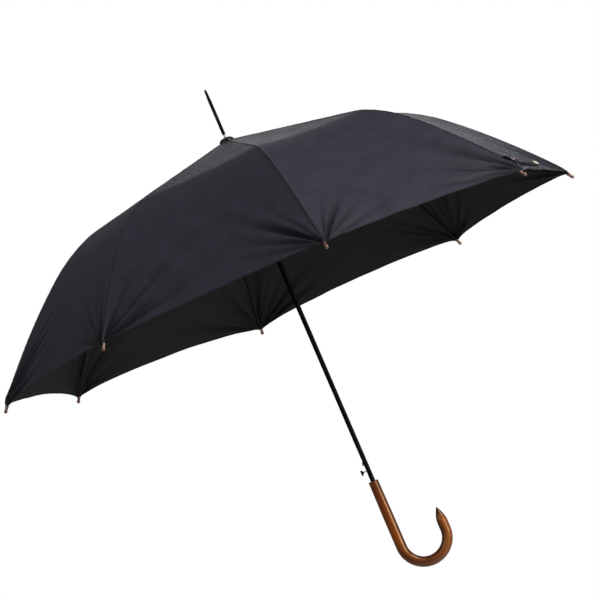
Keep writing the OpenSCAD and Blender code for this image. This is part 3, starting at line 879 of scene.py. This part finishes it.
def snap_cap(f, radius):
    """Points and faces of a domed snap cap that lies on the strap."""
    up_hem = band_up(f)
    rise = ridge_height(f, up_hem) + SNAP_RISE
    centre = over_gore(f, up_hem, 0)
    ahead = over_gore(f + 0.01, band_up(f + 0.01), 0) - centre
    ahead /= np.linalg.norm(ahead)
    up = over_gore(f, up_hem, 1.0) - centre
    up /= np.linalg.norm(up)
    side = np.cross(up, ahead)
    points = []
    for share, high in SNAP_PROFILE[:-1]:
        for c, s in circle(SNAP_SIDES):
            flat = radius * share * (c * ahead + s * side)
            points.append(centre + flat + (rise + high * SNAP_HEIGHT) * up)
    points.append(centre + (rise + SNAP_PROFILE[-1][1] * SNAP_HEIGHT) * up)
    points.append(centre + rise * up)
    faces = bands(len(SNAP_PROFILE) - 1, SNAP_SIDES, flip=True)
    last = (len(SNAP_PROFILE) - 2) * SNAP_SIDES
    for i in range(SNAP_SIDES):
        faces.append((last + i, last + (i + 1) % SNAP_SIDES, len(points) - 2))
        faces.append(((i + 1) % SNAP_SIDES, i, len(points) - 1))
    return points, faces


def make_snaps():
    """All the snap's caps as one piece: dark on the sewn end, brown next to it, cream on the free end."""
    points, faces, index = [], [], []
    for f, radius, material in SNAPS:
        cap, cap_faces = snap_cap(f, radius)
        faces += [tuple(v + len(points) for v in face) for face in cap_faces]
        index += [material] * len(cap_faces)
        points += cap
    snaps = new_piece("band_snaps", points, faces, [shaft_black, cream, tip_brown], index)
    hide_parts("strap_snap")
    return snaps


strap = make_strap()
snaps = make_snaps()
for piece in (strap, snaps):
    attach(piece, "rib_outer_8")
    gather(piece)


# ---------------------------------------------------------------- the handle

HANDLE_D = 17.6 * MM
HANDLE_TOP_D = 16.3 * MM
HANDLE_TAPER = 60 * MM     # over which the handle widens below its top face
HANDLE_EDGE = 0.9 * MM     # rounding of the top face's edge
HANDLE_SIDES = 72
BORE_R, BORE_DEPTH = 4.05 * MM, 12 * MM
GRIP = 117.5 * MM
CROOK_R = 39 * MM
CROOK_BEND = math.pi * CROOK_R
CROOK_END = 38.5 * MM
HANDLE_LEN = GRIP + CROOK_BEND + CROOK_END
POINT_LEN = 24 * MM


def crook_frame(s):
    """The crook's centre line at run s from the top face, and the way to the inside of its bend."""
    if s < GRIP:
        return Vector((0, 0, -s)), Vector((1, 0, 0))
    if s < GRIP + CROOK_BEND:
        a = (s - GRIP) / CROOK_R
        centre = Vector((CROOK_R - CROOK_R * math.cos(a), 0, -GRIP - CROOK_R * math.sin(a)))
        return centre, Vector((math.cos(a), 0, math.sin(a)))
    return Vector((2 * CROOK_R, 0, -GRIP + s - GRIP - CROOK_BEND)), Vector((-1, 0, 0))


def handle_radius(s):
    """The handle's radius: a slight taper at the top, a softened edge, and the point."""
    base = (HANDLE_TOP_D + (HANDLE_D - HANDLE_TOP_D) * min(1, s / HANDLE_TAPER)) / 2
    if s < HANDLE_EDGE:
        base -= HANDLE_EDGE - math.sqrt(max(0.0, HANDLE_EDGE ** 2 - (HANDLE_EDGE - s) ** 2))
    left = HANDLE_LEN - s
    if left < POINT_LEN:
        base *= max(0.0, 1 - (1 - left / POINT_LEN) ** 1.5)
    return base


def make_handle():
    """The crook from the bore in its top face to its point."""
    tail = HANDLE_LEN - GRIP - CROOK_BEND
    runs = list(np.array([0, 0.12, 0.3, 0.55, 0.9, 1.6]) * MM)
    runs += list(np.linspace(4 * MM, GRIP, 40))
    runs += list(np.linspace(GRIP, GRIP + CROOK_BEND, 81)[1:])
    runs += list((GRIP + CROOK_BEND + tail * (1 - (1 - np.linspace(0, 1, 44)[1:]) ** 1.5))[:-1])
    points, grain, ends = [], [], []

    def ring(s, radius):
        centre, side = crook_frame(s)
        for i in range(HANDLE_SIDES):
            a = TURN * i / HANDLE_SIDES
            r = radius
            if radius >= BORE_R * 1.2:
                # hands and drying leave wood a little out of round
                r = radius * (1 + 0.006 * math.sin(2 * a + 9 * s) + 0.003 * math.sin(3 * a - 31 * s))
            points.append(centre + r * (math.cos(a) * side + math.sin(a) * Vector((0, 1, 0))))
            grain.append((r * math.cos(a), r * math.sin(a), s))
            ends.append((HANDLE_LEN - s, s, 0))

    ring(BORE_DEPTH, BORE_R)
    ring(0.0, BORE_R)
    for s in runs:
        ring(float(s), handle_radius(float(s)))
    points.append(crook_frame(HANDLE_LEN)[0])
    grain.append((0, 0, HANDLE_LEN))
    ends.append((0, HANDLE_LEN, 0))
    rings = len(runs) + 2
    faces = bands(rings, HANDLE_SIDES)
    last = (rings - 1) * HANDLE_SIDES
    for i in range(HANDLE_SIDES):
        faces.append((last + i, len(points) - 1, last + (i + 1) % HANDLE_SIDES))
    faces.append(tuple(range(HANDLE_SIDES)))
    handle = new_piece("crook_handle", points, faces, [handle_wood])
    add_vectors(handle, "grain", grain)
    add_vectors(handle, "ends", ends)
    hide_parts("handle", "handle_tip")
    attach(handle, "shaft")


make_handle()


# ---------------------------------------------------------------- the rib tips

# distance back from the rib's end and radius, in mm: the mouth, the waist and the ball end
TIP_PROFILE = [(13.4, 1.3), (13.4, 2.45), (13.1, 2.7), (12.2, 2.8), (10.6, 2.6), (8.6, 2.35), (6.8, 2.35),
               (5.2, 2.65), (3.9, 2.92), (2.8, 2.95), (1.8, 2.75), (1.0, 2.3), (0.4, 1.55), (0.1, 0.8)]


TIP_SIDES = 28


def make_tip(k):
    """A moulded tip over the rib's end, turned about the rib's line."""
    slope = OUTER_SLOPE + OUTER_BEND / 2
    end = arc(OUTER_HINGE, OUTER_CHORD, OUTER_SLOPE, OUTER_BEND, 1.0, 0.0)
    along = np.array([math.cos(slope), 0, -math.sin(slope)])
    out = np.array([math.sin(slope), 0, math.cos(slope)])
    side = np.array([0.0, 1.0, 0.0])
    origin = np.array([end[0], 0, end[1]])
    points = []
    for back, radius in TIP_PROFILE:
        centre = origin - back * MM * along
        points += [centre + radius * MM * (c * out + s * side) for c, s in circle(TIP_SIDES)]
    points += [origin - TIP_PROFILE[0][0] * MM * along, origin]
    mouth, ball = len(points) - 2, len(points) - 1
    faces = bands(len(TIP_PROFILE), TIP_SIDES)
    last = (len(TIP_PROFILE) - 1) * TIP_SIDES
    for i in range(TIP_SIDES):
        faces.append((i, (i + 1) % TIP_SIDES, mouth))
        faces.append((last + i, ball, last + (i + 1) % TIP_SIDES))
    points = about_z(np.array(points), azimuth(k))
    tip = new_piece(f"tip_{k}", points, faces, [tip_brown])
    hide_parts(f"rib_tip_{k}")
    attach(tip, f"rib_outer_{k}")


for k in range(1, RIBS + 1):
    make_tip(k)


# ---------------------------------------------------------------- CAD nodes that stay, with their materials

FINISH = {
    "shaft_tube": shaft_black, "ferrule": ferrule_black, "ferrule_stud": steel, "top_cap": gloss_black,
    "crown_notch": runner_black, "runner": runner_black, "push_button": gloss_black, "latch_spring": steel,
}
for k in range(1, RIBS + 1):
    for part in ("rib_inner", "rib_mid", "rib_outer", "stretcher"):
        FINISH[f"{part}_{k}"] = rib_black
for node, finish in FINISH.items():
    part = frame["nodes"][node]
    part.data.materials.clear()
    part.data.materials.append(finish)


# ---------------------------------------------------------------- floor

FLOOR_Z, FLOOR_R = -1.0, 1.4


def make_floor():
    """A pale disc under the umbrella."""
    points = [(FLOOR_R * c, FLOOR_R * s, FLOOR_Z) for c, s in circle(96)]
    mesh = bpy.data.meshes.new("floor")
    mesh.from_pydata(points, [], [tuple(range(len(points)))])
    r = Recipe("floor_white", Roughness=0.9, Specular_IOR_Level=0.1)
    r.feed("Base Color", r.ramp(r.noise(r.place(), 3, 2), [(0.3, 0.86), (0.7, 0.90)]))
    mesh.materials.append(r.material)
    floor = bpy.data.objects.new("floor", mesh)
    bpy.context.scene.collection.objects.link(floor)


make_floor()
